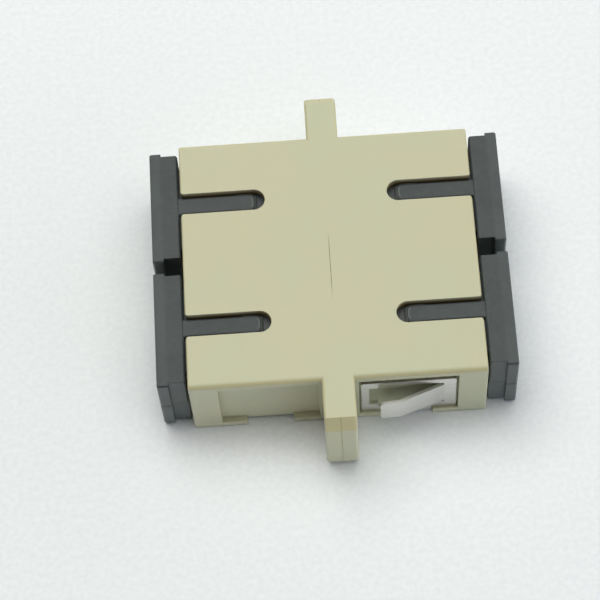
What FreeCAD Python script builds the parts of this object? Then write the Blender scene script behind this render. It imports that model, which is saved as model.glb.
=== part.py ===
import FreeCAD, Part
import math
import os
from FreeCAD import Vector

# Duplex adapter that joins two pairs of square push-pull fibre connectors
# through a panel.  Sizes are in millimetres.  X runs along the fibres, Y
# across the two channels and along the flange, Z up towards the keyways.
# The origin is the middle of the underside, on the joint between the two
# half shells.  The half on +X carries the panel clip.

# ---- channels and walls ------------------------------------------------
channel_pitch = 12.7            # from one fibre axis to the other
port_width = 9.0
port_height = 7.4
port_lead_in = 0.25             # chamfer round the mouth of a port
side_wall = 1.85                # between a port and the narrow side
roof_thickness = 0.9
floor_thickness = 0.9
half_length = 13.7              # from the joint to the end face
top_edge_radius = 0.55
bottom_edge_radius = 0.3
end_edge_chamfer = 0.1

# ---- keyways in the roof -----------------------------------------------
keyway_width = 2.15
keyway_length = 7.95            # from the end face to the round end
keyway_mouth_radius = 0.3

# ---- cross wall and the pocket behind it -------------------------------
pocket_width = 8.6
pocket_height = 7.0
pocket_depth = 1.7
cross_wall = 1.1

# ---- flange ------------------------------------------------------------
flange_half = 1.5               # thickness that each half shell gives
ear_length = 4.65               # past the side of the body
ear_corner = 0.95               # 45 degree corner at top and bottom
ear_edge_radius = 0.3
joint_chamfer = 0.06            # fine groove between the half shells on the ear ends
screw_hole_diameter = 2.4
screw_hole_offset = 2.6         # from the side of the body

# ---- locating pegs between the half shells -----------------------------
peg_diameter = 1.2
peg_length = 1.0
peg_offset = 0.9                # to each side of the middle
peg_clearance = 0.05
peg_end_clearance = 0.2

# ---- recess and channel for the panel clip -----------------------------
recess_start = 1.85             # from the joint
recess_end = 11.05
recess_top = 8.35
recess_depth = 0.55
channel_start = 4.3             # the channel under the body
channel_end = 8.7
channel_depth = 0.4
channel_corner_radius = 0.35
ledge_height = 1.0              # corner ledges that the wings sit on

# ---- panel clip, one stamping ------------------------------------------
clip_thickness = 0.3
clip_side_play = 0.02
clip_top_play = 0.03
clip_end_play = 0.2
clip_bend_radius = 0.15         # inside the bends under the body
wing_top = 7.2
wing_corner_radius = 0.3
wing_ledge_play = 0.05
bridge_play = 0.1
window_margin = 0.73            # metal left at the flange end of a wing
window_step = 0.88              # length of the narrow end of the window
window_low = 2.4                # heights of the narrow end
window_high = 6.1
window_wide_low = 1.6           # heights just past the step
window_wide_high = 6.88
root_margin = 1.15              # metal left at the root end of a wing
root_low = 2.45                 # heights of the tongue at its root
root_high = 6.0
root_slit = 0.35                # cut above and below the root
tongue_tip_low = 2.5
tongue_tip_high = 5.7
tongue_tip_setback = 1.7        # from the flange end of the wing
tongue_knee_setback = 3.5
tongue_knee_rise = 1.43         # out from the face of the wing
tongue_tip_rise = 1.5
tongue_bend_radius = 0.9
tongue_corner_radius = 0.3

# ---- split sleeves -----------------------------------------------------
sleeve_bore = 2.5
sleeve_wall = 0.35
sleeve_length = 11.4
sleeve_slit = 0.45

# ---- latch pieces ------------------------------------------------------
base_thickness = 1.64
base_play = 0.05                # round the base, in its pocket
joint_gap = 0.01                # between a piece and the joint plane
tube_play = 0.05                # round the sleeve
tube_wall = 0.65
sleeve_end_play = 0.3
lip_length = 0.9
lip_step = 0.2                  # the lip's bore is this much past the sleeve's
arm_thickness = 0.9
arm_height = 2.8
arm_end = 9.0
arm_play = 0.1                  # between an arm and the cap's skirt
hook_depth = 0.7
hook_length = 1.3
hook_undercut = 0.2
hook_ramp_length = 0.5
hook_ramp_depth = 0.6
arm_window_side = 0.3           # room beside an arm in the cross wall
tube_window_side = 0.4          # room above the tube in the cross wall

# ---- dust caps ---------------------------------------------------------
skirt_play = 0.1
skirt_wall = 0.8
skirt_reach = 8.35              # into the port from the end face
skirt_corner_radius = 0.3
skirt_tip_chamfer = 0.25
key_play = 0.175
key_drop = 0.45                 # below the top of the body
key_reach = 7.0                 # into the keyway from the end face
key_ramp_length = 0.3           # slope at the inner end of the key
key_top_chamfer = 0.12
cap_gap = 0.2                   # between the body and the cap
block_thickness = 1.6
block_spacing = 1.6             # between neighbouring blocks
block_draft = 0.1
parting_step = 0.12             # the lower half of a block stands back by this much
head_thickness = 1.05
head_spacing = 1.1              # between neighbouring heads
head_inset = 0.35               # short of the body at top and bottom
head_edge_chamfer = 0.14
cap_core_depth = 0.65           # how far the hollow runs into the block

# ---- sizes that follow -------------------------------------------------
body_width = channel_pitch + port_width + 2 * side_wall
body_height = floor_thickness + port_height + roof_thickness
flange_width = body_width + 2 * ear_length
axis_height = floor_thickness + port_height / 2
cross_wall_end = pocket_depth + cross_wall
recess_floor = body_width / 2 - recess_depth
spill = 1.0                     # how far a cutter runs past the surface

sleeve_radius = sleeve_bore / 2 + sleeve_wall
tube_bore_radius = sleeve_radius + tube_play
tube_radius = tube_bore_radius + tube_wall
tube_seat = sleeve_length / 2 + sleeve_end_play
skirt_width = port_width - 2 * skirt_play
skirt_height = port_height - 2 * skirt_play
hollow_width = skirt_width - 2 * skirt_wall
hollow_height = skirt_height - 2 * skirt_wall
arm_outer = hollow_width / 2 - arm_play
arm_inner = arm_outer - arm_thickness


# ---- small helpers -----------------------------------------------------
def block(x, y, z):
    """A plain block; each argument is a pair, low then high."""
    corner = Vector(x[0], y[0], z[0])
    return Part.makeBox(x[1] - x[0], y[1] - y[0], z[1] - z[0], corner)


def centred(width):
    return (-width / 2, width / 2)


def round_bar(radius, start, length, y=0.0, z=0.0):
    """A cylinder along X."""
    return Part.makeCylinder(radius, length, Vector(start, y, z), Vector(1, 0, 0))


def straight_along(edge, axis):
    if not isinstance(edge.Curve, (Part.Line, Part.LineSegment)):
        return False
    run = edge.Vertexes[-1].Point - edge.Vertexes[0].Point
    return abs(run.normalize().dot(axis)) > 0.999


def edges_along(shape, axis, chosen=lambda middle: True):
    """Straight edges along an axis whose middle passes a test."""
    return [edge for edge in shape.Edges
            if straight_along(edge, axis) and chosen(edge.CenterOfMass)]


def edges_at_x(shape, x):
    """Edges that lie wholly in the plane at x."""
    return [edge for edge in shape.Edges
            if abs(edge.BoundBox.XMin - x) < 1e-4 and abs(edge.BoundBox.XMax - x) < 1e-4]


def rounded_bar(x, y, z, radius):
    """A block whose four edges along X are rounded."""
    plain = block(x, y, z)
    return plain.makeFillet(radius, edges_along(plain, Vector(1, 0, 0)))


def rounded_path(points, radius):
    """Straight runs through the points, joined by tangent arcs."""
    edges = []
    start = points[0]
    for before, corner, after in zip(points, points[1:], points[2:]):
        back = (before - corner).normalize()
        ahead = (after - corner).normalize()
        turn = math.pi - back.getAngle(ahead)
        setback = radius * math.tan(turn / 2)
        entry = corner + back * setback
        leave = corner + ahead * setback
        inward = (back + ahead).normalize()
        middle = corner + inward * (radius / math.cos(turn / 2) - radius)
        edges.append(Part.makeLine(start, entry))
        edges.append(Part.Arc(entry, middle, leave).toShape())
        start = leave
    edges.append(Part.makeLine(start, points[-1]))
    return edges


def prism(points, along):
    """A polygon swept straight along a vector."""
    outline = Part.makePolygon(points + points[:1])
    return Part.Face(outline).extrude(along)


def turned(shape):
    """A copy turned half a turn about the upright axis."""
    copy = shape.copy()
    copy.rotate(Vector(0, 0, 0), Vector(0, 0, 1), 180)
    return copy


# ---- half shell --------------------------------------------------------
def flange_plate():
    """The ears, flush with the body at top and bottom."""
    half = flange_width / 2
    outline = []
    for y, z, step_y, step_z in ((half, 0, -1, 1), (half, body_height, -1, -1),
                                 (-half, body_height, 1, -1), (-half, 0, 1, 1)):
        corner = [Vector(0, y + step_y * ear_corner, z), Vector(0, y, z + step_z * ear_corner)]
        outline += corner if y * step_z > 0 else corner[::-1]
    plate = prism(outline, Vector(flange_half, 0, 0))
    plate = plate.makeFillet(ear_edge_radius, edges_at_x(plate, flange_half))
    ends = [edge for edge in edges_at_x(plate, 0) if abs(edge.CenterOfMass.y) > half - 1e-4]
    return plate.makeChamfer(joint_chamfer, ends)


def body_block():
    """The outer block of one half, before anything is cut from it."""
    along = Vector(1, 0, 0)
    plain = block((flange_half / 2, half_length), centred(body_width), (0, body_height))
    plain = plain.makeFillet(top_edge_radius, edges_along(plain, along, lambda m: m.z > axis_height))
    plain = plain.makeFillet(bottom_edge_radius, edges_along(plain, along, lambda m: m.z < 1e-4))
    return plain.makeChamfer(end_edge_chamfer, edges_at_x(plain, half_length))


def port_cutter():
    """One port with its chamfered mouth, about the fibre axis."""
    cavity = block((cross_wall_end, half_length), centred(port_width), centred(port_height))
    rings = []
    for x, grown in ((half_length - port_lead_in, 0), (half_length, port_lead_in)):
        y = port_width / 2 + grown
        z = port_height / 2 + grown
        rings.append(Part.makePolygon([Vector(x, -y, -z), Vector(x, y, -z), Vector(x, y, z),
                                       Vector(x, -y, z), Vector(x, -y, -z)]))
    mouth = Part.makeLoft(rings, True, True)
    return cavity.fuse(mouth)


def keyway_cutter():
    """The slot in the roof: flared at the mouth, round at its inner end."""
    half = keyway_width / 2
    flare = keyway_mouth_radius
    mouth = half_length
    bend = half_length - keyway_length + half
    flare_middle = flare * (1 - math.sqrt(0.5))
    inner_end = Part.Arc(Vector(bend, half, 0), Vector(bend - half, 0, 0), Vector(bend, -half, 0))
    edges = [inner_end.toShape()]
    for side in (1, -1):
        entry = Vector(mouth - flare, side * half, 0)
        middle = Vector(mouth - flare_middle, side * (half + flare_middle), 0)
        lip = Vector(mouth, side * (half + flare), 0)
        far = Vector(mouth + spill, side * (half + flare), 0)
        edges.append(Part.makeLine(Vector(bend, side * half, 0), entry))
        edges.append(Part.Arc(entry, middle, lip).toShape())
        edges.append(Part.makeLine(lip, far))
    edges.append(Part.makeLine(Vector(mouth + spill, half + flare, 0),
                               Vector(mouth + spill, -half - flare, 0)))
    outline = Part.Wire(Part.sortEdges(edges)[0])
    return Part.Face(outline).extrude(Vector(0, 0, port_height))


def channel_cutters():
    """Everything that one channel removes, about the fibre axis."""
    pocket = block((-spill, pocket_depth), centred(pocket_width), centred(pocket_height))
    window = block((0, half_length), centred(2 * (arm_outer + arm_window_side)),
                   centred(2 * (tube_radius + tube_window_side)))
    return [port_cutter(), keyway_cutter(), pocket, window]


def recess_cutters():
    """The side recesses with their ledges, and the channel under the body."""
    beyond = body_width / 2 + spill
    cutters = []
    for y in ((recess_floor, beyond), (-beyond, -recess_floor)):
        cutters.append(block((recess_start, recess_end), y, (ledge_height, recess_top)))
    strap = block((channel_start, channel_end), (-beyond, beyond), (-spill, recess_top))
    core = block((channel_start, channel_end), centred(2 * recess_floor), (channel_depth, recess_top))
    low_edges = edges_along(core, Vector(1, 0, 0), lambda m: m.z < channel_depth + 1e-4)
    core = core.makeFillet(channel_corner_radius, low_edges)
    cutters.append(strap.cut(core))
    return cutters


def half_shell():
    """One moulded half, with its joint on X = 0 and its ports towards +X."""
    shell = flange_plate().fuse(body_block())
    cutters = recess_cutters()
    for side in (1, -1):
        for cutter in channel_cutters():
            cutter.translate(Vector(0, side * channel_pitch / 2, axis_height))
            cutters.append(cutter)
        screw_y = side * (body_width / 2 + screw_hole_offset)
        cutters.append(round_bar(screw_hole_diameter / 2, -spill, flange_half + 2 * spill,
                                 screw_y, axis_height))
    cutters.append(round_bar(peg_diameter / 2 + peg_clearance, -spill,
                             spill + peg_length + peg_end_clearance, -peg_offset, axis_height))
    shell = shell.cut(cutters)
    peg = round_bar(peg_diameter / 2, -peg_length, 2 * peg_length, peg_offset, axis_height)
    return shell.fuse(peg).removeSplitter()


# ---- parts inside a channel --------------------------------------------
def split_sleeve():
    """The slit alignment tube that the two ferrules meet in."""
    start = -sleeve_length / 2
    tube = round_bar(sleeve_radius, start, sleeve_length)
    bore = round_bar(sleeve_bore / 2, start, sleeve_length)
    slit = block(centred(sleeve_length), centred(sleeve_slit), (0, sleeve_radius + spill))
    return tube.cut([bore, slit])


def latch_arm():
    """One springy arm with its hook turned in, on the +Y side."""
    hook_start = arm_end - hook_length
    hook_tip = arm_inner - hook_depth
    outline = [Vector(joint_gap, arm_inner, 0),
               Vector(hook_start, arm_inner, 0),
               Vector(hook_start + hook_undercut, hook_tip, 0),
               Vector(arm_end - hook_ramp_length, hook_tip, 0),
               Vector(arm_end, hook_tip + hook_ramp_depth, 0),
               Vector(arm_end, arm_outer, 0),
               Vector(joint_gap, arm_outer, 0)]
    arm = prism(outline, Vector(0, 0, arm_height))
    arm.translate(Vector(0, 0, -arm_height / 2))
    return arm


def latch_piece():
    """Base, sleeve holder and two latch arms, moulded as one."""
    base = block((joint_gap, base_thickness), centred(pocket_width - 2 * base_play),
                 centred(pocket_height - 2 * base_play))
    tube = round_bar(tube_radius, joint_gap, tube_seat + lip_length - joint_gap)
    arm = latch_arm()
    other_arm = arm.mirror(Vector(0, 0, 0), Vector(0, 1, 0))
    seat = round_bar(tube_bore_radius, -spill, spill + tube_seat)
    lip_bore = round_bar(sleeve_bore / 2 + lip_step, 0, tube_seat + lip_length + spill)
    return base.fuse([tube, arm, other_arm]).cut([seat, lip_bore]).removeSplitter()


# ---- dust cap ----------------------------------------------------------
def cap_block():
    """The block behind the head, drafted both ways from its middle."""
    start = half_length + cap_gap
    wide = (channel_pitch - block_spacing) / 2
    high = body_height / 2 - head_inset
    outline = [Vector(start, wide, 0), Vector(start, wide - block_draft, high),
               Vector(start, block_draft - wide, high), Vector(start, -wide, 0),
               Vector(start, block_draft - wide, -high), Vector(start, wide - block_draft, -high)]
    drafted = prism(outline, Vector(block_thickness, 0, 0))
    drafted = drafted.makeChamfer(head_edge_chamfer, edges_at_x(drafted, start))
    beyond = wide + spill
    for y in ((wide - parting_step, beyond), (-beyond, parting_step - wide)):
        drafted = drafted.cut(block((start, start + block_thickness), y, (-high, 0)))
    return drafted


def cap_head():
    """The plate at the end of the cap, level with the block at top and bottom."""
    start = half_length + cap_gap + block_thickness
    head = block((start, start + head_thickness), centred(channel_pitch - head_spacing),
                 centred(body_height - 2 * head_inset))
    rim = [edge for edge in head.Edges if edge.BoundBox.XMax > start + 1e-4]
    return head.makeChamfer(head_edge_chamfer, rim)


def cap_skirt():
    """The hollow skirt that fills the port; returns it solid and its hollow."""
    tip = half_length - skirt_reach
    block_end = half_length + cap_gap
    skirt = rounded_bar((tip, block_end + cap_core_depth), centred(skirt_width),
                        centred(skirt_height), skirt_corner_radius)
    skirt = skirt.makeChamfer(skirt_tip_chamfer, edges_at_x(skirt, tip))
    hollow = block((tip - spill, block_end + cap_core_depth), centred(hollow_width),
                   centred(hollow_height))
    return skirt, hollow


def cap_key():
    """The rib that fills the keyway, up to the head, with a slope at its inner end."""
    tip = half_length - key_reach
    foot = skirt_height / 2
    top = body_height - axis_height - key_drop
    end = half_length + cap_gap + block_thickness
    half = keyway_width / 2 - key_play
    outline = [Vector(tip, -half, hollow_height / 2), Vector(tip, -half, foot),
               Vector(tip + key_ramp_length, -half, top), Vector(end, -half, top),
               Vector(end, -half, hollow_height / 2)]
    key = prism(outline, Vector(0, 2 * half, 0))
    rim = [edge for edge in key.Edges
           if edge.BoundBox.ZMin > foot - 1e-4 and edge.CenterOfMass.x < end - 1e-4
           and not straight_along(edge, Vector(0, 1, 0))]
    return key.makeChamfer(key_top_chamfer, rim)


def dust_cap():
    """One dust cap, about the fibre axis of its port."""
    skirt, hollow = cap_skirt()
    cap = cap_block().fuse([cap_head(), skirt, cap_key()])
    return cap.cut(hollow).removeSplitter()


# ---- panel clip --------------------------------------------------------
def clip_strap(wing_start, wing_end, inner_y, inner_z):
    """The bent strip, wing to wing under the body, at its full width."""
    sheet = []
    for grow in (clip_thickness, 0):
        y = inner_y + grow
        solid = block((wing_start, wing_end), (-y, y), (inner_z - grow, wing_top))
        bends = edges_along(solid, Vector(1, 0, 0), lambda m: m.z < wing_top / 2)
        sheet.append(solid.makeFillet(clip_bend_radius + grow, bends))
    return sheet[0].cut(sheet[1])


def clip_blank(wing_start, wing_end):
    """The outline that the strip is trimmed to, seen from the side."""
    across = body_width / 2 + spill
    wing_low = ledge_height + wing_ledge_play
    wings = block((wing_start, wing_end), (-across, across), (wing_low, wing_top))
    wings = wings.makeFillet(wing_corner_radius, edges_along(wings, Vector(0, 1, 0)))
    bridge = block((channel_start + bridge_play, channel_end - bridge_play), (-across, across),
                   (-spill, wing_low + clip_bend_radius + clip_thickness))
    return wings.fuse(bridge)


def clip_window(wing_start, root_x):
    """The opening that the tongue is cut free in, through both wings."""
    across = body_width / 2 + spill
    start = wing_start + window_margin
    step = start + window_step
    outline = [Vector(start, -across, window_low), Vector(start, -across, window_high),
               Vector(step, -across, window_high), Vector(step, -across, window_wide_high),
               Vector(root_x, -across, root_high + root_slit),
               Vector(root_x, -across, root_low - root_slit),
               Vector(step, -across, window_wide_low), Vector(step, -across, window_low)]
    return prism(outline, Vector(0, 2 * across, 0))


def clip_tongue(wing_start, root_x, inner_y):
    """The tongue on the +Y wing, sprung out from the wing towards the flange."""
    knee_x = wing_start + tongue_knee_setback
    tip_x = wing_start + tongue_tip_setback
    rear_x = root_x + root_margin / 2
    path = [Vector(rear_x, inner_y, 0), Vector(root_x, inner_y, 0),
            Vector(knee_x, inner_y + tongue_knee_rise, 0), Vector(tip_x, inner_y + tongue_tip_rise, 0)]
    inner = Part.Wire(rounded_path(path, tongue_bend_radius))
    strip = inner.makeOffset2D(clip_thickness, join=2, fill=True, openResult=True)
    strip = strip.extrude(Vector(0, 0, wing_top))
    far = inner_y + tongue_tip_rise + spill
    outline = [Vector(rear_x, 0, root_low), Vector(root_x, 0, root_low),
               Vector(tip_x, 0, tongue_tip_low), Vector(tip_x, 0, tongue_tip_high),
               Vector(root_x, 0, root_high), Vector(rear_x, 0, root_high)]
    taper = prism(outline, Vector(0, far, 0))
    tip_edges = edges_along(taper, Vector(0, 1, 0), lambda m: m.x < tip_x + 1e-4)
    taper = taper.makeFillet(tongue_corner_radius, tip_edges)
    return strip.common(taper)


def panel_clip():
    """The stamped spring clip: two wings, a bridge and two tongues."""
    wing_start = recess_start + clip_end_play
    wing_end = recess_end - clip_end_play
    root_x = wing_end - root_margin
    inner_y = recess_floor + clip_side_play
    inner_z = channel_depth - clip_top_play
    strap = clip_strap(wing_start, wing_end, inner_y, inner_z)
    clip = strap.common(clip_blank(wing_start, wing_end)).cut(clip_window(wing_start, root_x))
    tongue = clip_tongue(wing_start, root_x, inner_y)
    return clip.fuse([tongue, tongue.mirror(Vector(0, 0, 0), Vector(0, 1, 0))]).removeSplitter()


# ---- assembly ----------------------------------------------------------
def on_channel(shape, row, facing):
    """A copy of a channel part on one fibre axis, facing +X or -X."""
    copy = shape.copy() if facing > 0 else turned(shape)
    copy.translate(Vector(0, row * channel_pitch / 2, axis_height))
    return copy


def build():
    shell = half_shell()
    latch = latch_piece()
    cap = dust_cap()
    sleeve = split_sleeve()
    nodes = {"housing_right": shell, "housing_left": turned(shell), "panel_clip": panel_clip()}
    for row, row_name in ((-1, "front"), (1, "back")):
        nodes["sleeve_" + row_name] = on_channel(sleeve, row, 1)
        for facing, side_name in ((1, "right"), (-1, "left")):
            place = side_name + "_" + row_name
            nodes["latch_" + place] = on_channel(latch, row, facing)
            nodes["dust_cap_" + place] = on_channel(cap, row, facing)
    return nodes


os.makedirs("parts", exist_ok=True)
for name, shape in build().items():
    shape.exportStep("parts/" + name + ".step")
    print(name, "solids", len(shape.Solids), "valid", shape.isValid(), "volume", round(shape.Volume, 3))
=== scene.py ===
# %% [markdown]
# # A duplex fibre adapter, dressed for its picture
# The solids of the adapter are already built: two beige half shells, a steel
# clip, four dark dust caps and the small parts inside.  This lesson gives them
# their surfaces, a table to lie on, soft light and a camera.  The first cell
# loads the solids and notes how large they are, so that nothing added later
# makes the object grow without our seeing it.

# %% load the solids
import math
import bpy
from mathutils import Matrix, Vector


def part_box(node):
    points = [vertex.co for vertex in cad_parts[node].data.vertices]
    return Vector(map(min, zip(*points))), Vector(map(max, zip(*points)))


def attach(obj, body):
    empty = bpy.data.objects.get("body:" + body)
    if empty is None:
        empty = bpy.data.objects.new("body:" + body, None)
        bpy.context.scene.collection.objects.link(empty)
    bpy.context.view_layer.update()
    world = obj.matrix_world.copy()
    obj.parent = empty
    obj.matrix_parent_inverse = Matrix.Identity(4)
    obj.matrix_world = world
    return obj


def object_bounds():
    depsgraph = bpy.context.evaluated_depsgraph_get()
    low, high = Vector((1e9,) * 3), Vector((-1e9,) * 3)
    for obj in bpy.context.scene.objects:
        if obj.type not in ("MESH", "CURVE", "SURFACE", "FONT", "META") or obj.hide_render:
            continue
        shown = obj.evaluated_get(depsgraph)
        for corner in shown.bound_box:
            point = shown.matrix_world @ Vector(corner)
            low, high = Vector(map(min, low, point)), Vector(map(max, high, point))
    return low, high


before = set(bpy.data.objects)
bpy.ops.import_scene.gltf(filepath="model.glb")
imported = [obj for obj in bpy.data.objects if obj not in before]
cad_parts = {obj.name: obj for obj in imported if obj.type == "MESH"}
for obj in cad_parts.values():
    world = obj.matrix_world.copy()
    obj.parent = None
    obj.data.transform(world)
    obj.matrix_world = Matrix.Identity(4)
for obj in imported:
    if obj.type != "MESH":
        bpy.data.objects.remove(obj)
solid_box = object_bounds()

MM = 0.001
low, high = solid_box
middle = (low + high) / 2
size = high - low
print("solids measure", [round(value / MM, 2) for value in size], "mm")

# %% [markdown]
# ## The table
# The adapter lies on a plain white sheet.  A single large plane is enough: its
# material will fade it into the pale room long before it ends.  It lies a hair
# below the adapter, so that no two faces fill the same place.

# %% the table
TABLE_REACH = 40 * size.y
TABLE_DROP = 0.01 * MM
bpy.ops.object.select_all(action="DESELECT")
bpy.ops.mesh.primitive_plane_add(size=TABLE_REACH, location=(0, 0, low.z - TABLE_DROP))
table = bpy.context.object
table.name = "table"
print("table is", round(TABLE_REACH, 2), "m across")

# %% [markdown]
# ## The camera
# We stand in front of the adapter and look steeply down on it, through a long
# lens.  The camera is placed from a few readable facts: the compass angle, the
# height above the horizon, a small lean of the head and the distance.  The
# sidestep slides the view a little, so that the adapter sits left of and below
# the centre of the picture.

# %% the camera
AZIMUTH = math.radians(1.368)
ELEVATION = math.radians(64.345)
LEAN = math.radians(-5.008)
DISTANCE = 225.545 * MM
SIDESTEP = (2.937 * MM, 2.212 * MM)
LENS = 142.78

back = Vector((math.sin(AZIMUTH) * math.cos(ELEVATION),
               -math.cos(AZIMUTH) * math.cos(ELEVATION), math.sin(ELEVATION)))
level_right = Vector((0, 0, 1)).cross(back).normalized()
level_up = back.cross(level_right)
right = math.cos(LEAN) * level_right + math.sin(LEAN) * level_up
up = -math.sin(LEAN) * level_right + math.cos(LEAN) * level_up
eye = middle + back * DISTANCE - right * SIDESTEP[0] - up * SIDESTEP[1]

bpy.ops.object.camera_add()
camera = bpy.context.object
camera.name = "camera"
camera.matrix_world = Matrix.Translation(eye) @ Matrix((right, up, back)).transposed().to_4x4()
camera.data.lens = LENS
camera.data.clip_start = DISTANCE / 20
bpy.context.scene.camera = camera
print("camera stands", [round(value / MM, 1) for value in eye], "mm from the origin")

# %% [markdown]
# ## Building with nodes
# Materials and the room are small networks of nodes.  Writing each node out in
# full takes many lines, so one helper feeds a node's inputs by name, from a
# number, a colour or another node, and a second adds the node first.

# %% add and feed nodes
def join(tree, value, socket):
    """Feeds a socket from another socket, or sets it to a number, vector or colour."""
    if isinstance(value, bpy.types.NodeSocket):
        tree.links.new(value, socket)
    else:
        socket.default_value = value


def feed(tree, node, **values):
    """Feeds inputs by name; an underscore in an input's name stands for a space."""
    for name, value in values.items():
        join(tree, value, node.inputs[name.replace("_", " ")])
    return node


def put(tree, kind, **values):
    """Adds a node by the name of its kind, or places a group, and feeds it."""
    if isinstance(kind, str):
        return feed(tree, tree.nodes.new("ShaderNode" + kind), **values)
    made = tree.nodes.new("ShaderNodeGroup")
    made.node_tree = kind
    return feed(tree, made, **values)


# %% [markdown]
# Numbers and vectors have a node each that does one step of arithmetic on them,
# and a vector can be split into the three numbers that it holds.

# %% arithmetic with nodes
def maths(tree, operation, *values):
    """One step of arithmetic on numbers or sockets."""
    made = tree.nodes.new("ShaderNodeMath")
    made.operation = operation
    for value, socket in zip(values, made.inputs):
        join(tree, value, socket)
    return made.outputs[0]


def vectors(tree, operation, *values):
    """One step of arithmetic on vectors, with outputs Vector and Value."""
    made = tree.nodes.new("ShaderNodeVectorMath")
    made.operation = operation
    for value, socket in zip(values, made.inputs):
        join(tree, value, socket)
    return made.outputs


def distance(tree, value, mark):
    """How far a number is from a mark, on either side."""
    return maths(tree, "ABSOLUTE", maths(tree, "SUBTRACT", value, mark))


def stretch(tree, vector, factors):
    """Multiplies a vector, so that a pattern laid on it is squeezed or drawn out."""
    return vectors(tree, "MULTIPLY", vector, factors)["Vector"]


def split(tree, vector):
    """The three numbers of a vector, as outputs X, Y and Z."""
    return put(tree, "SeparateXYZ", Vector=vector).outputs


# %% [markdown]
# A mask is a number from 0 to 1 that says where an effect shows.  Most masks
# here rise or fall between two marks, and several laid over each other show
# only where they all do.  A mask can also carry a number, such as a roughness,
# from one value to another.

# %% masks
def ramp(tree, value, start, end):
    """Zero before start, one past end, and smooth between them."""
    made = put(tree, "MapRange", Value=value, From_Min=start, From_Max=end)
    made.interpolation_type = "SMOOTHSTEP"
    return made.outputs["Result"]


def fall(tree, value, start, end):
    """One before start, zero past end, and smooth between them."""
    return maths(tree, "SUBTRACT", 1.0, ramp(tree, value, start, end))


def overlap(tree, *masks):
    """Where all the masks show; a plain number makes the result weaker."""
    shared = masks[0]
    for mask in masks[1:]:
        shared = maths(tree, "MULTIPLY", shared, mask)
    return shared


def band(tree, value, rise, drop):
    """Rises between the two marks of rise and falls again between those of drop."""
    return overlap(tree, ramp(tree, value, *rise), fall(tree, value, *drop))


def between(tree, mask, first, second):
    """The first number where the mask is 0, the second where it is 1."""
    return maths(tree, "MULTIPLY_ADD", mask, second - first, first)


# %% [markdown]
# ## The light
# Plastic and bright steel show the room they stand in.  This room is a white
# tent that is open in front: what a glossy surface mirrors is white above and
# behind, and darker towards us, which draws the thin dark lines along the
# front edges.

# %% the room as seen and mirrored
WHITE = (1, 1, 1, 1)
PALE = 0.95
OPEN_SIDE = 0.12
TENT_EDGE = (-0.3, 0.15)

world = bpy.data.worlds.new("pale_room")
bpy.context.scene.world = world
world.use_nodes = True
room = world.node_tree
looks = split(room, put(room, "TexCoord").outputs["Generated"])
tent = between(room, ramp(room, looks["Y"], *TENT_EDGE), OPEN_SIDE, PALE)
mirrored = put(room, "Background", Color=WHITE, Strength=tent)
backdrop = put(room, "Background", Color=WHITE, Strength=PALE)
print("the tent mirrors", PALE, "and its open side", OPEN_SIDE)

# %% [markdown]
# On matt surfaces the walls of the room act as a low, gentle fill.  It comes
# from near the horizon all round, with a little more from the right, as from a
# reflector card, so it reaches upright faces without washing out the shadow.

# %% the room as a fill light
FILL = 0.42
CARD_FILL = 2.07
FILL_COLOUR = (0.93, 0.98, 1.15, 1)
WALL_TOP = (0.25, 0.5)
CARD_EDGE = (0.2, 0.6)

low_down = fall(room, looks["Z"], *WALL_TOP)
card_side = between(room, ramp(room, looks["X"], *CARD_EDGE), FILL, CARD_FILL)
glow = put(room, "Background", Color=FILL_COLOUR, Strength=overlap(room, low_down, card_side))
print("fill", FILL, "rising to", CARD_FILL, "on the right")

# %% [markdown]
# The three looks of the room are told apart by the kind of ray that asks: one
# that bounced off something glossy, one that came from the camera, or any other.

# %% put the room together
def blend(tree, mask, first, second):
    """The first shader where the mask is 0, the second where it is 1."""
    made = put(tree, "MixShader", Fac=mask)
    tree.links.new(first, made.inputs[1])
    tree.links.new(second, made.inputs[2])
    return made.outputs[0]


ray = put(room, "LightPath").outputs
shines = maths(room, "MAXIMUM", ray["Is Glossy Ray"], ray["Is Transmission Ray"])
lit = blend(room, shines, glow.outputs[0], mirrored.outputs[0])
seen = blend(room, ray["Is Camera Ray"], lit, backdrop.outputs[0])
room.links.new(seen, room.nodes["World Output"].inputs["Surface"])
room.nodes.remove(room.nodes["Background"])
print("the room has", len(room.nodes), "nodes")

# %% [markdown]
# One soft lamp overhead, behind the adapter and to its left, does most of the
# work: tops come out brighter than fronts, and a soft shadow falls towards us.
# A weaker one on the right keeps that shadow from going black.

# %% the lamps
LAMP_REACH = 0.4
LAMP_COLOUR = (1.0, 1.0, 0.96)
LAMPS = {"softbox": ((-0.1, 0.15, 0.46), 1.76), "side_box": ((0.12, 0.02, 0.46), 0.84)}

for name, (where, power) in LAMPS.items():
    bpy.ops.object.light_add(type="AREA", location=where)
    lamp = bpy.context.object
    lamp.name = name
    lamp.data.size = LAMP_REACH
    lamp.data.energy = power
    lamp.data.color = LAMP_COLOUR
    lamp.rotation_euler = (Vector(where) - middle).to_track_quat("Z", "Y").to_euler()
    lamp.visible_glossy = False
    print(name, "gives", power, "W")

# %% [markdown]
# ## Effects that several materials share
# Some effects turn up in more than one material: cloudy tone, moulded grain,
# fine scuffs and softened edges, with masks for outer edges and inner corners
# that carry wear, dust and painted light and shade.  Each is built once as a node
# group with named inputs, and each material places the group with its own values.

# %% start a node group
def new_group(name, inputs, outputs):
    """An empty group; inputs and outputs give a kind of socket for each name."""
    group = bpy.data.node_groups.new(name, "ShaderNodeTree")
    for side, sockets in (("INPUT", inputs), ("OUTPUT", outputs)):
        for label, kind in sockets.items():
            group.interface.new_socket(label, in_out=side, socket_type="NodeSocket" + kind)
    return group, group.nodes.new("NodeGroupInput").outputs, group.nodes.new("NodeGroupOutput")


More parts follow.
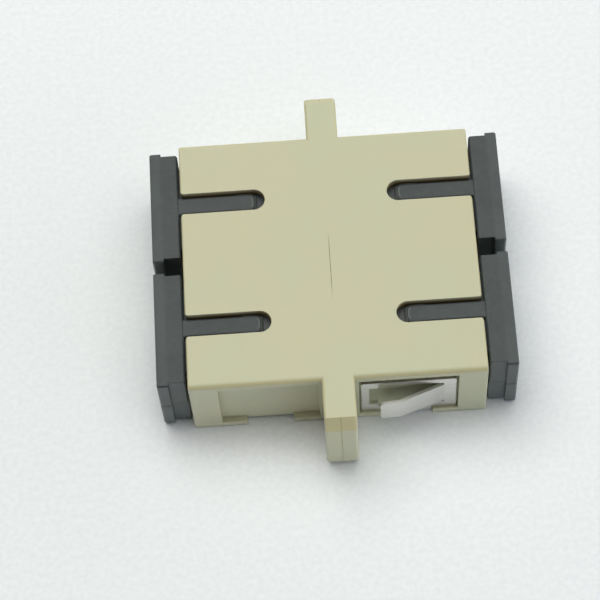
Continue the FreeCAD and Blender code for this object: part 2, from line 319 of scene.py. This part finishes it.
# %% [markdown]
# ### Clouds
# Moulded plastic is never one flat colour.  Pigment drifts as the melt flows,
# so the tone wanders a little over a few millimetres.  Two sizes of soft noise
# are enough, one large and one small.

# %% clouds
SMALLER = 4.7
LARGE_SHARE = 0.65
CLOUD_EDGE = (0.32, 0.68)

clouds, given, result = new_group("clouds", {"Vector": "Vector", "Size": "Float"}, {"Tone": "Float"})
per_size = maths(clouds, "DIVIDE", 1.0, given["Size"])
large = put(clouds, "TexNoise", Vector=given["Vector"], Scale=per_size, Detail=2.0, Roughness=0.5)
small = put(clouds, "TexNoise", Vector=given["Vector"], Scale=maths(clouds, "MULTIPLY", per_size, SMALLER),
            Detail=3.0, Roughness=0.6)
both = maths(clouds, "MULTIPLY_ADD", large.outputs["Fac"], LARGE_SHARE,
             maths(clouds, "MULTIPLY", small.outputs["Fac"], 1 - LARGE_SHARE))
feed(clouds, result, Tone=ramp(clouds, both, *CLOUD_EDGE))
print("clouds has", len(clouds.nodes), "nodes")

# %% [markdown]
# ### Grain
# A mould that was spark eroded leaves a fine, even grain with a few deeper
# pits.  It is too small to see as a shape, but it breaks up the shine.

# %% grain
PIT_SPACING = 0.45
PIT_RIM = (0.0, 0.35)
BUMP_SHARE = 0.6

grain, given, result = new_group("grain", {"Vector": "Vector", "Size": "Float"}, {"Height": "Float"})
per_size = maths(grain, "DIVIDE", 1.0, given["Size"])
bumps = put(grain, "TexNoise", Vector=given["Vector"], Scale=per_size, Detail=2.0, Roughness=0.55)
pits = put(grain, "TexVoronoi", Vector=given["Vector"],
           Scale=maths(grain, "MULTIPLY", per_size, PIT_SPACING))
rims = ramp(grain, pits.outputs["Distance"], *PIT_RIM)
feed(grain, result, Height=maths(grain, "MULTIPLY_ADD", bumps.outputs["Fac"], BUMP_SHARE,
                                 maths(grain, "MULTIPLY", rims, 1 - BUMP_SHARE)))
print("grain has", len(grain.nodes), "nodes")

# %% [markdown]
# ### Scuffs
# Hair-fine scratches come from noise that is stretched a long way in one
# direction and cut off near its peaks, so that only thin streaks are left.
# Three directions that don't line up look like chance, each with fewer streaks
# than the last, and a second noise wipes most of them away, so that they come
# in patches.

# %% scuffs
DIRECTIONS = ((0.3, 0.2, 0.5), (-0.4, 0.9, 1.7), (1.1, -0.2, 2.8))
THINNESS = 34
PEAKS = (0.69, 0.76)
FEWER = 0.01
PATCH_SPACING = 0.8
PATCH_EDGE = (0.42, 0.6)

scuffs, given, result = new_group("scuffs", {"Vector": "Vector", "Length": "Float", "Amount": "Float"},
                                  {"Mask": "Float"})
per_length = maths(scuffs, "DIVIDE", 1.0, given["Length"])
layers = []
for number, turn in enumerate(DIRECTIONS):
    swing = put(scuffs, "Mapping", Vector=given["Vector"], Rotation=turn)
    drawn = stretch(scuffs, swing.outputs[0], (1, THINNESS, THINNESS))
    streak = put(scuffs, "TexNoise", Vector=drawn, Scale=per_length, Detail=1.0)
    layers.append(ramp(scuffs, streak.outputs["Fac"], *(peak + FEWER * number for peak in PEAKS)))
lines = maths(scuffs, "MAXIMUM", maths(scuffs, "MAXIMUM", layers[0], layers[1]), layers[2])
patch = put(scuffs, "TexNoise", Vector=given["Vector"],
            Scale=maths(scuffs, "MULTIPLY", per_length, PATCH_SPACING), Detail=1.0)
kept = ramp(scuffs, patch.outputs["Fac"], *PATCH_EDGE)
feed(scuffs, result, Mask=overlap(scuffs, lines, kept, given["Amount"]))
print("scuffs has", len(scuffs.nodes), "nodes")

# %% [markdown]
# ### Softened edges
# No real edge is perfectly sharp.  The Bevel node looks round each corner and
# gives back a rounded normal, so an edge catches light although the solid
# stays as it is.  Where that normal leaves the true one, we are on an edge.
# Ambient occlusion tells outer edges, which the materials paint paler or darker,
# partly as wear and partly as painted highlight or reflection, from inner
# corners, which are darkened with dust and painted shade.

# %% softened edges
LOOKS_ROUND = 6
ON_EDGE = (0.01, 0.25)
OPEN_ENOUGH = (0.7, 0.95)
CLOSED_IN = (0.3, 0.9)

soft_edges, given, result = new_group("soft_edges", {"Radius": "Float", "Reach": "Float"},
                                      {"Normal": "Vector", "Wear": "Float", "Corner": "Float"})
rounded = put(soft_edges, "Bevel", Radius=given["Radius"])
rounded.samples = LOOKS_ROUND
straight = put(soft_edges, "NewGeometry").outputs["True Normal"]
agree = vectors(soft_edges, "DOT_PRODUCT", rounded.outputs[0], straight)["Value"]
turned_away = ramp(soft_edges, maths(soft_edges, "SUBTRACT", 1.0, agree), *ON_EDGE)
openness = put(soft_edges, "AmbientOcclusion", Distance=given["Reach"])
openness.samples = LOOKS_ROUND
openness.only_local = True
outer = ramp(soft_edges, openness.outputs["AO"], *OPEN_ENOUGH)
# Ridge marks outer edges and Corner inner corners: masks for wear, dust and painted light and shade.
feed(soft_edges, result, Normal=rounded.outputs[0], Wear=overlap(soft_edges, turned_away, outer),
     Corner=fall(soft_edges, openness.outputs["AO"], *CLOSED_IN))
print("soft_edges has", len(soft_edges.nodes), "nodes")


# %% [markdown]
# ## Starting a material
# Every material begins in the same way: a Principled shader, and coordinates
# that are fixed to the object.  The solids all share one origin and are in
# metres, so a size in millimetres means the same on every part.  Many effects
# also depend on which way the surface faces.

# %% start a material
def new_material(name):
    """A material with its tree, its shader and the object's own coordinates."""
    material = bpy.data.materials.new(name)
    material.use_nodes = True
    tree = material.node_tree
    spot = put(tree, "TexCoord").outputs["Object"]
    return material, tree, tree.nodes["Principled BSDF"], spot


def facing(tree):
    """Which way the surface faces, as outputs X, Y and Z from -1 to 1."""
    return split(tree, put(tree, "NewGeometry").outputs["True Normal"])


def emboss(tree, shader, height, strength, depth, **base):
    """Lets a height show as fine relief, on top of the normal given as base."""
    relief = put(tree, "Bump", Height=height, Strength=strength, Distance=depth, **base)
    tree.links.new(relief.outputs[0], shader.inputs["Normal"])


finishes = {}

# %% [markdown]
# Colours are easier to judge as screen values from 0 to 255, while nodes work in
# linear light, so one helper converts them.  A second blends two colours by a
# mask, which is how tone, wear, dust and painted light and shade are laid over
# each other.

# %% colours
def srgb(red, green, blue):
    """A colour given as screen values, as the linear values that nodes use."""
    linear = []
    for value in (red, green, blue):
        value = value / 255
        linear.append(value / 12.92 if value <= 0.04045 else ((value + 0.055) / 1.055) ** 2.4)
    return (*linear, 1)


def mix(tree, mask, first, second):
    """The first colour where the mask is 0, the second where it is 1."""
    made = put(tree, "Mix", Factor=mask)
    made.data_type = "RGBA"
    for value, socket in zip((first, second), [each for each in made.inputs if each.type == "RGBA"]):
        join(tree, value, socket)
    return next(each for each in made.outputs if each.type == "RGBA")


print("a mid grey of 128 is", round(srgb(128, 128, 128)[0], 3), "in linear light")

# %% [markdown]
# ## Beige moulding
# The half shells are moulded in a warm grey-beige plastic with a dull satin
# surface.  The tone drifts between a yellower and a greener beige.  Slopes and
# rounded edges are painted a warmer, darker beige, a painted shade where they
# turn towards the dim open side of the room.  The sharpest edges are paler,
# partly from wear and partly as a painted highlight, and inner corners are
# darkened with dust and painted shade.  The edge where the two halves meet is
# left out of the wear and highlight.

# %% beige moulding, tone and painted shade on slopes
BEIGE_WARM = srgb(194, 189, 158)
BEIGE_GREEN = srgb(188, 191, 160)
BEIGE_SPECK = srgb(191, 190, 161)
BEIGE_DUST_AND_SHADE = srgb(158, 148, 116)
BEIGE_SLOPE_SHADE = srgb(186, 178, 135)
BEIGE_WORN_AND_LIT = srgb(204, 200, 168)
SPECKLE = 0.35
CORNER_DUST_AND_SHADE = 0.25
SLOPE_SHADING = 0.85
EDGE_WEAR_AND_HIGHLIGHT = 0.35
JOINT_SIDE = (0.06 * MM, 0.1 * MM)
WALL_TO_SLOPE = (0.1, 0.6)
SLOPE_TO_TOP = (0.82, 0.97)

material, tree, shader, spot = new_material("beige_moulding")
place = split(tree, spot)
across = maths(tree, "ABSOLUTE", place["X"])
off_joint = ramp(tree, across, *JOINT_SIDE)
upward = facing(tree)["Z"]
tone = put(tree, clouds, Vector=spot, Size=11 * MM).outputs["Tone"]
small_tone = put(tree, clouds, Vector=spot, Size=1.6 * MM).outputs["Tone"]
edges = put(tree, soft_edges, Radius=0.07 * MM, Reach=0.5 * MM).outputs

drift = mix(tree, tone, BEIGE_WARM, BEIGE_GREEN)
speckled = mix(tree, overlap(tree, small_tone, SPECKLE), drift, BEIGE_SPECK)
# Inner corners darken, partly dust and partly painted shade.
dust_and_shade = mix(tree, overlap(tree, edges["Corner"], CORNER_DUST_AND_SHADE), speckled, BEIGE_DUST_AND_SHADE)
slope = band(tree, upward, WALL_TO_SLOPE, SLOPE_TO_TOP)
# Slopes get a warmer, darker beige: painted shade.
slope_shaded = mix(tree, overlap(tree, slope, SLOPE_SHADING), dust_and_shade, BEIGE_SLOPE_SHADE)
# Outer edges turn paler, partly wear and partly a painted highlight.
worn_and_lit = mix(tree, overlap(tree, edges["Wear"], off_joint, EDGE_WEAR_AND_HIGHLIGHT), slope_shaded, BEIGE_WORN_AND_LIT)
print("beige drifts between", BEIGE_WARM[:3], "and", BEIGE_GREEN[:3])

# %% [markdown]
# Two places get painted shade: the walls of the key slots, painted a dark warm
# brown, and the strip of the recess just above the clip, under its lip.  Both are
# found from where they are, each by a pair of marks on every side, and only on
# upright walls.

# %% beige moulding, painted shade in slots and gap
BEIGE_SLOT_SHADE = srgb(142, 120, 66)
GAP_SHADE = srgb(74, 64, 42)
SLOT_SHADING = 0.9
GAP_SHADING = 0.95
KEY_LINE = 12.7 / 2 * MM
SLOT_SIDE = (1.25 * MM, 1.35 * MM)
SLOT_FOOT = (high.z - 1.2 * MM, high.z - 1.0 * MM)
SLOT_LIP = (high.z - 0.6 * MM, high.z)
clip_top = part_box("panel_clip")[1].z
GAP_FOOT = (clip_top - 0.4 * MM, clip_top)
GAP_LIP = (8.2 * MM, 8.36 * MM)
RECESS_START = (1.8 * MM, 1.9 * MM)
RECESS_END = (11.0 * MM, 11.1 * MM)
RECESS_FLOOR = (12.2 * MM, 12.4 * MM)
WALL_EDGE = (0.2, 0.6)

outside = maths(tree, "ABSOLUTE", place["Y"])
from_key = distance(tree, outside, KEY_LINE)
wall = fall(tree, upward, *WALL_EDGE)
# Painted shade on the walls of the key slots.
in_slot = overlap(tree, fall(tree, from_key, *SLOT_SIDE), band(tree, place["Z"], SLOT_FOOT, SLOT_LIP),
                  wall, SLOT_SHADING)
slot_shaded = mix(tree, in_slot, worn_and_lit, BEIGE_SLOT_SHADE)

# Painted shade in the recess under the lip above the clip.
in_gap = overlap(tree, band(tree, place["Z"], GAP_FOOT, GAP_LIP),
                 band(tree, place["X"], RECESS_START, RECESS_END),
                 fall(tree, outside, *RECESS_FLOOR), wall, GAP_SHADING)
shaded = mix(tree, in_gap, slot_shaded, GAP_SHADE)
print("slots lie", round(KEY_LINE / MM, 2), "mm either side of the middle")

# %% [markdown]
# The two halves are pressed flush at the joint.  It hardly shows, apart from
# the sloping corners of the flange and one stretch near the middle of the top,
# where the line opens a hair's breadth.

# %% beige moulding, joint and shine
JOINT_DARK = srgb(132, 128, 100)
HAIRLINE = (0.02 * MM, 0.05 * MM)
OPENING = (-5 * MM, -2.5 * MM)
CLOSING = (0.5 * MM, 3 * MM)
ON_SLOPES = 0.6
PLASTIC_IOR = 1.57

parted = maths(tree, "MAXIMUM", band(tree, place["Y"], OPENING, CLOSING), overlap(tree, slope, ON_SLOPES))
gap = overlap(tree, fall(tree, across, *HAIRLINE), parted)
feed(tree, shader, Base_Color=mix(tree, gap, shaded, JOINT_DARK),
     Roughness=between(tree, small_tone, 0.42, 0.48), IOR=PLASTIC_IOR,
     Subsurface_Weight=0.12, Subsurface_Radius=(1.0, 0.6, 0.3), Subsurface_Scale=0.5 * MM)

straight = put(tree, "NewGeometry").outputs["Normal"]
bent = stretch(tree, edges["Normal"], off_joint)
unbent = stretch(tree, straight, maths(tree, "SUBTRACT", 1.0, off_joint))
texture = put(tree, grain, Vector=spot, Size=0.09 * MM).outputs["Height"]
emboss(tree, shader, texture, strength=0.25, depth=0.006 * MM,
       Normal=vectors(tree, "ADD", bent, unbent)["Vector"])
finishes["housing"] = material
print(material.name, "has", len(tree.nodes), "nodes")

# %% [markdown]
# ## Cap moulding
# The dust caps are a softer, almost black plastic with a green-grey cast.  The
# head is a paler grey, with a duller shine, than the block behind it.  Caps are
# handled far more than the body, so they carry fine scuffs.  Their edges are
# darkened, partly burnished and partly a painted reflection of the dim open
# side of the room.

# %% cap moulding, colour
CAP = srgb(60, 66, 65)
CAP_DEEP = srgb(47, 53, 53)
CAP_HEAD = srgb(67, 73, 71)
CAP_DARK = srgb(26, 30, 32)
CAP_SCUFFED = srgb(96, 102, 101)
HEAD_EDGE = (15.35 * MM, 15.75 * MM)
SCUFFING = 0.6
BURNISH_AND_REFLECTION = 0.6

material, tree, shader, spot = new_material("cap_moulding")
place = split(tree, spot)
outward = maths(tree, "ABSOLUTE", place["X"])
tone = put(tree, clouds, Vector=spot, Size=3.5 * MM).outputs["Tone"]
edges = put(tree, soft_edges, Radius=0.09 * MM, Reach=0.4 * MM).outputs
marks = put(tree, scuffs, Vector=spot, Length=2.2 * MM, Amount=1.0).outputs["Mask"]
speckle = put(tree, clouds, Vector=spot, Size=0.5 * MM).outputs["Tone"]

mottled = maths(tree, "MULTIPLY_ADD", speckle, 0.5, maths(tree, "MULTIPLY", tone, 0.5))
drift = mix(tree, mottled, CAP_DEEP, CAP)
gripped = ramp(tree, outward, *HEAD_EDGE)
head_toned = mix(tree, overlap(tree, gripped, between(tree, tone, 0.4, 0.9)), drift, CAP_HEAD)
scuffed = mix(tree, overlap(tree, marks, SCUFFING), head_toned, CAP_SCUFFED)
# Edges darken: partly burnish, partly a painted reflection of the dim open side.
edges_darkened = mix(tree, overlap(tree, edges["Wear"], BURNISH_AND_REFLECTION), scuffed, CAP_DARK)
print("the head starts", round(HEAD_EDGE[0] / MM, 2), "mm from the middle")

# %% [markdown]
# The key on top of a cap lies deep in its slot.  Painted shade darkens its long
# edges and rounds off its end, a painted highlight leaves a pale rim just inside
# that end, and the slope past the end is painted lighter, painted light on a
# face turned from the lamps.  The rounded end is found with a distance: how far
# a point is from a rectangle inside the key, which grows round corners.

# %% cap moulding, rim of the key
KEY_SHADE = srgb(38, 42, 41)
KEY_SLOPE_LIT = srgb(92, 96, 94)
KEY_HIGHLIGHT = srgb(96, 101, 99)
HIGHLIGHT_SHARE = 0.65
KEY_FLAT = 0.67 * MM
KEY_ROUND = 0.5 * MM
KEY_END = 6.8 * MM
KEY_FOOT = (high.z - 0.9 * MM, high.z - 0.8 * MM)
SLOT_MOUTH = (13.5 * MM, 13.7 * MM)
RIM_INNER = (KEY_ROUND - 0.2 * MM, KEY_ROUND - 0.12 * MM)
RIM_OUTER = (KEY_ROUND - 0.08 * MM, KEY_ROUND)
RIM_LENGTH = (KEY_END + 0.15 * MM, KEY_END + 0.4 * MM)
KEY_SHADE_EDGE = (KEY_ROUND - 0.04 * MM, KEY_ROUND + 0.04 * MM)
SLOPE_EDGE = (KEY_END - 0.1 * MM, KEY_END + 0.02 * MM)

aside = distance(tree, maths(tree, "ABSOLUTE", place["Y"]), KEY_LINE)
past_side = maths(tree, "MAXIMUM", maths(tree, "SUBTRACT", aside, KEY_FLAT - KEY_ROUND), 0.0)
past_end = maths(tree, "MAXIMUM", maths(tree, "SUBTRACT", KEY_END + KEY_ROUND, outward), 0.0)
squares = maths(tree, "MULTIPLY_ADD", past_side, past_side, maths(tree, "MULTIPLY", past_end, past_end))
from_round = maths(tree, "SQRT", squares)

on_key = overlap(tree, ramp(tree, place["Z"], *KEY_FOOT), fall(tree, outward, *SLOT_MOUTH))
# A painted highlight makes a pale rim inside the key's end.
rim = overlap(tree, band(tree, from_round, RIM_INNER, RIM_OUTER), fall(tree, outward, *RIM_LENGTH),
              on_key, HIGHLIGHT_SHARE)
rim_highlighted = mix(tree, rim, edges_darkened, KEY_HIGHLIGHT)
# Painted shade along the key's edges and round its end.
key_shaded = mix(tree, overlap(tree, ramp(tree, from_round, *KEY_SHADE_EDGE), on_key), rim_highlighted, KEY_SHADE)
# The slope past the end is painted lighter: painted light.
keyed = mix(tree, overlap(tree, fall(tree, outward, *SLOPE_EDGE), on_key), key_shaded, KEY_SLOPE_LIT)
print("keys end", round(KEY_END / MM, 2), "mm from the middle")

# %% [markdown]
# The sides of a cap are painted paler, more so towards the bottom: a painted
# reflection of the pale floor.  A thin dark line runs round them where the two
# halves of the mould met, partly the parting line and partly painted shade under
# the small step there.  Both are kept off the tops by looking at which way a
# face points.

# %% cap moulding, sides and shine
CAP_SIDE_REFLECTION = srgb(80, 89, 87)
REFLECTION_HEIGHT = (2 * MM, 6.5 * MM)
PARTING_HEIGHT = 4.4 * MM
PARTING_EDGE = (0.14 * MM, 0.26 * MM)
PARTING_SHADE = 0.8
FLATNESS = (0.3, 0.6)

upright = fall(tree, maths(tree, "ABSOLUTE", facing(tree)["Z"]), *FLATNESS)
# Upright faces are painted paler towards the bottom: painted reflection of the floor.
reflection_share = between(tree, ramp(tree, place["Z"], *REFLECTION_HEIGHT), 0.9, 0.2)
side_reflected = mix(tree, overlap(tree, upright, reflection_share), keyed, CAP_SIDE_REFLECTION)
from_line = distance(tree, place["Z"], PARTING_HEIGHT)
# The dark parting line is partly painted shade under the step.
parting = overlap(tree, fall(tree, from_line, *PARTING_EDGE), upright, PARTING_SHADE)

shine = maths(tree, "MULTIPLY_ADD", tone, 0.08, between(tree, gripped, 0.34, 0.4))
feed(tree, shader, Base_Color=mix(tree, parting, side_reflected, CAP_DARK),
     Roughness=maths(tree, "MULTIPLY_ADD", marks, 0.15, shine), IOR=PLASTIC_IOR)
texture = put(tree, grain, Vector=spot, Size=0.12 * MM).outputs["Height"]
cut_in = maths(tree, "SUBTRACT", texture, maths(tree, "MULTIPLY_ADD", marks, 0.8, parting))
emboss(tree, shader, cut_in, strength=0.35, depth=0.008 * MM, Normal=edges["Normal"])
finishes["dust_cap"] = material
print(material.name, "has", len(tree.nodes), "nodes")

# %% [markdown]
# ## Spring steel
# The clip is stamped from rolled stainless strip.  Rolling leaves long faint
# streaks along the strip.  The cut edges that shearing leaves, and the outer
# edges, are painted brighter: partly the bright shear face and partly a painted
# highlight.  A cut face is one whose normal lies in the sheet: on the upright
# wings it points up, down or along the body, and never sideways.

# %% spring steel
STEEL = srgb(233, 232, 227)
STEEL_STREAK = srgb(217, 216, 212)
STEEL_CUT_AND_SHINE = srgb(248, 247, 242)
STREAK_EDGE = (0.35, 0.65)
WING_FOOT = (0.9 * MM, 1.0 * MM)
EDGE_SHINE = 0.6
ROLLED = (1, 1, 22)

material, tree, shader, spot = new_material("spring_steel")
edges = put(tree, soft_edges, Radius=0.04 * MM, Reach=0.2 * MM).outputs
marks = put(tree, scuffs, Vector=spot, Length=1.8 * MM, Amount=1.0).outputs["Mask"]
streaks = put(tree, "TexNoise", Vector=stretch(tree, spot, ROLLED), Scale=1 / (1.4 * MM),
              Detail=4.0, Roughness=0.6).outputs["Fac"]
on_wing = ramp(tree, split(tree, spot)["Z"], *WING_FOOT)
sideways = maths(tree, "ABSOLUTE", facing(tree)["Y"])
cut = overlap(tree, on_wing, fall(tree, sideways, *FLATNESS))

strip = mix(tree, ramp(tree, streaks, *STREAK_EDGE), STEEL_STREAK, STEEL)
# Cut and outer edges are painted brighter, partly a painted highlight.
bright = maths(tree, "MAXIMUM", cut, overlap(tree, edges["Wear"], EDGE_SHINE))
feed(tree, shader, Base_Color=mix(tree, bright, strip, STEEL_CUT_AND_SHINE),
     Roughness=between(tree, streaks, 0.24, 0.38), Metallic=1.0)
scratched = maths(tree, "MULTIPLY_ADD", streaks, 0.5, maths(tree, "MULTIPLY", marks, -0.5))
emboss(tree, shader, scratched, strength=0.3, depth=0.01 * MM, Normal=edges["Normal"])
finishes["panel_clip"] = material
print(material.name, "has", len(tree.nodes), "nodes")

# %% [markdown]
# ## Latch moulding
# The latch pieces inside are unpigmented engineering plastic, a milky cream
# that lets some light through.  They only show when a cap is pulled out, so
# they get the same clouds, grain and soft edges with paler colours.

# %% latch moulding
LATCH = srgb(222, 217, 196)
LATCH_WARM = srgb(212, 205, 178)
LATCH_DUST_AND_SHADE = srgb(160, 150, 118)
LATCH_DUST_AND_SHADING = 0.3

material, tree, shader, spot = new_material("latch_moulding")
tone = put(tree, clouds, Vector=spot, Size=4 * MM).outputs["Tone"]
edges = put(tree, soft_edges, Radius=0.06 * MM, Reach=0.4 * MM).outputs
milky = mix(tree, tone, LATCH_WARM, LATCH)
# Inner corners darken, partly dust and partly painted shade.
feed(tree, shader, Base_Color=mix(tree, overlap(tree, edges["Corner"], LATCH_DUST_AND_SHADING), milky, LATCH_DUST_AND_SHADE),
     Roughness=between(tree, tone, 0.36, 0.44),
     Subsurface_Weight=0.25, Subsurface_Radius=(1.0, 0.8, 0.6), Subsurface_Scale=0.6 * MM)
texture = put(tree, grain, Vector=spot, Size=0.08 * MM).outputs["Height"]
emboss(tree, shader, texture, strength=0.2, depth=0.006 * MM, Normal=edges["Normal"])
finishes["latch"] = material
print(material.name, "has", len(tree.nodes), "nodes")

# %% [markdown]
# ## Sleeve ceramic
# The split sleeves are ground zirconia, close to white and quite glossy.  The
# grinding wheel leaves rings round the tube, so the noise is squeezed along
# the tube's length.

# %% sleeve ceramic
CERAMIC = srgb(238, 236, 228)
CERAMIC_RING = srgb(228, 225, 215)
RINGED = (18, 1, 1)

material, tree, shader, spot = new_material("sleeve_ceramic")
edges = put(tree, soft_edges, Radius=0.05 * MM, Reach=0.3 * MM).outputs
rings = put(tree, "TexNoise", Vector=stretch(tree, spot, RINGED), Scale=1 / (1.2 * MM),
            Detail=3.0).outputs["Fac"]
feed(tree, shader, Base_Color=mix(tree, rings, CERAMIC_RING, CERAMIC),
     Roughness=between(tree, rings, 0.14, 0.24))
emboss(tree, shader, rings, strength=0.15, depth=0.004 * MM, Normal=edges["Normal"])
finishes["sleeve"] = material
print(material.name, "has", len(tree.nodes), "nodes")

# %% [markdown]
# ## White sheet
# The table is matt white card.  Its fibres only just show, as a tone that
# varies by a few parts in a hundred, and it has almost no shine.  Well away from
# the adapter the card turns see-through, so from low down there is no horizon.

# %% white sheet
CARD = srgb(243, 246, 246)
CARD_FIBRE = srgb(236, 239, 240)
FADE = (3 * size.y, 11 * size.y)

material, tree, shader, spot = new_material("white_sheet")
fibres = put(tree, clouds, Vector=spot, Size=0.5 * MM).outputs["Tone"]
feed(tree, shader, Base_Color=mix(tree, fibres, CARD_FIBRE, CARD),
     Roughness=between(tree, fibres, 0.85, 0.9), Specular_IOR_Level=0.2)
texture = put(tree, grain, Vector=spot, Size=0.25 * MM).outputs["Height"]
emboss(tree, shader, texture, strength=0.2, depth=0.01 * MM)
faded = ramp(tree, vectors(tree, "LENGTH", spot)["Value"], *FADE)
clear = put(tree, "BsdfTransparent").outputs[0]
tree.links.new(blend(tree, faded, shader.outputs[0], clear), tree.nodes["Material Output"].inputs["Surface"])
table.data.materials.append(material)
print(material.name, "has", len(tree.nodes), "nodes")

# %% [markdown]
# ## Noses for the keys
# Each cap has a flat key that lies in the slot of the roof.  On the real cap the
# key ends in a small rounded nose, while the solid's key is cut straight.  The
# nose could be carved from the key, but the solid is left alone, so a thin
# rounded pad is laid over its end.  It starts as a block, its two inner corners
# are beveled round, its foot is drawn forward into a slope, the rim of its top is
# beveled finely, and its tail is sunk so that it fades into the key.

# %% block out one nose
KEY_TOP = high.z - 0.45 * MM
NOSE_FRONT = 6.78 * MM
NOSE_SIZE = (1.7 * MM, 1.8 * MM, 0.4 * MM)
NOSE_PROUD = 0.012 * MM

bpy.ops.object.select_all(action="DESELECT")
bpy.ops.mesh.primitive_cube_add(
    size=1, scale=NOSE_SIZE,
    location=(NOSE_FRONT + NOSE_SIZE[0] / 2, KEY_LINE, KEY_TOP + NOSE_PROUD - NOSE_SIZE[2] / 2))
nose = bpy.context.object
bpy.ops.object.transform_apply(location=True, rotation=False, scale=True)
print("nose is", [round(value / MM, 2) for value in nose.dimensions], "mm")


# %% [markdown]
# Edges are picked by where they are: a small helper selects the edges whose two
# ends both pass a test.

# %% shape the nose
NOSE_CORNER = 0.34 * MM
NOSE_SLOPE = 0.25 * MM
NOSE_RIM = 0.12 * MM
TAIL_SINK = 0.03 * MM
SMOOTH_BELOW = math.radians(40)
nose_middle = NOSE_FRONT + NOSE_SIZE[0] / 2


def select_edges(piece, test):
    """In edit mode, selects the edges whose two ends both pass the test."""
    bpy.ops.object.mode_set(mode="OBJECT")
    for part in (*piece.data.polygons, *piece.data.edges, *piece.data.vertices):
        part.select = False
    for edge in piece.data.edges:
        edge.select = all(test(piece.data.vertices[end].co) for end in edge.vertices)
    bpy.ops.object.mode_set(mode="EDIT")
    bpy.ops.mesh.select_mode(type="EDGE")


for side in (-1, 1):
    select_edges(nose, lambda point: point.x < nose_middle
                 and side * (point.y - KEY_LINE) > NOSE_SIZE[1] / 3)
    bpy.ops.mesh.bevel(offset=NOSE_CORNER, segments=6, affect="EDGES")
select_edges(nose, lambda point: point.z < KEY_TOP and point.x < nose_middle)
bpy.ops.transform.translate(value=(-NOSE_SLOPE, 0, 0))
select_edges(nose, lambda point: point.z > KEY_TOP and point.x < nose_middle)
bpy.ops.mesh.bevel(offset=NOSE_RIM, segments=3, affect="EDGES")
select_edges(nose, lambda point: point.z > KEY_TOP and point.x > nose_middle)
bpy.ops.transform.translate(value=(0, 0, -TAIL_SINK))
bpy.ops.object.mode_set(mode="OBJECT")
bpy.ops.object.shade_smooth_by_angle(angle=SMOOTH_BELOW)
nose.data.materials.append(finishes["dust_cap"])
print("nose has", len(nose.data.polygons), "faces")

# %% [markdown]
# The other three noses are copies with meshes of their own, turned or slid into
# place, and each rides on its cap.

# %% one nose for each cap
half_turn = Matrix.Rotation(math.pi, 4, "Z")
step_over = Matrix.Translation((0, -2 * KEY_LINE, 0))
moves = {"right_back": Matrix(), "right_front": step_over,
         "left_front": half_turn, "left_back": half_turn @ step_over}
for cap, move in moves.items():
    piece = nose.copy()
    piece.data = nose.data.copy()
    piece.data.transform(move)
    piece.name = "key_nose_" + cap
    bpy.context.collection.objects.link(piece)
    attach(piece, "dust_cap_" + cap + "_body")
    print(piece.name, "rides on its cap")
bpy.data.objects.remove(nose)

# %% [markdown]
# ## Dressing the solids
# The name of each solid starts with what it is, so the start of the name picks
# its finish.

# %% dress the solids
for name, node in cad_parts.items():
    kind = next(key for key in finishes if name.startswith(key))
    node.data.materials.clear()
    node.data.materials.append(finishes[kind])
    print(name, "wears", finishes[kind].name)

# %% [markdown]
# ## Finishing
# The plain Standard view shows colours about as they were written.

# %% finish
bpy.context.scene.view_settings.view_transform = "Standard"
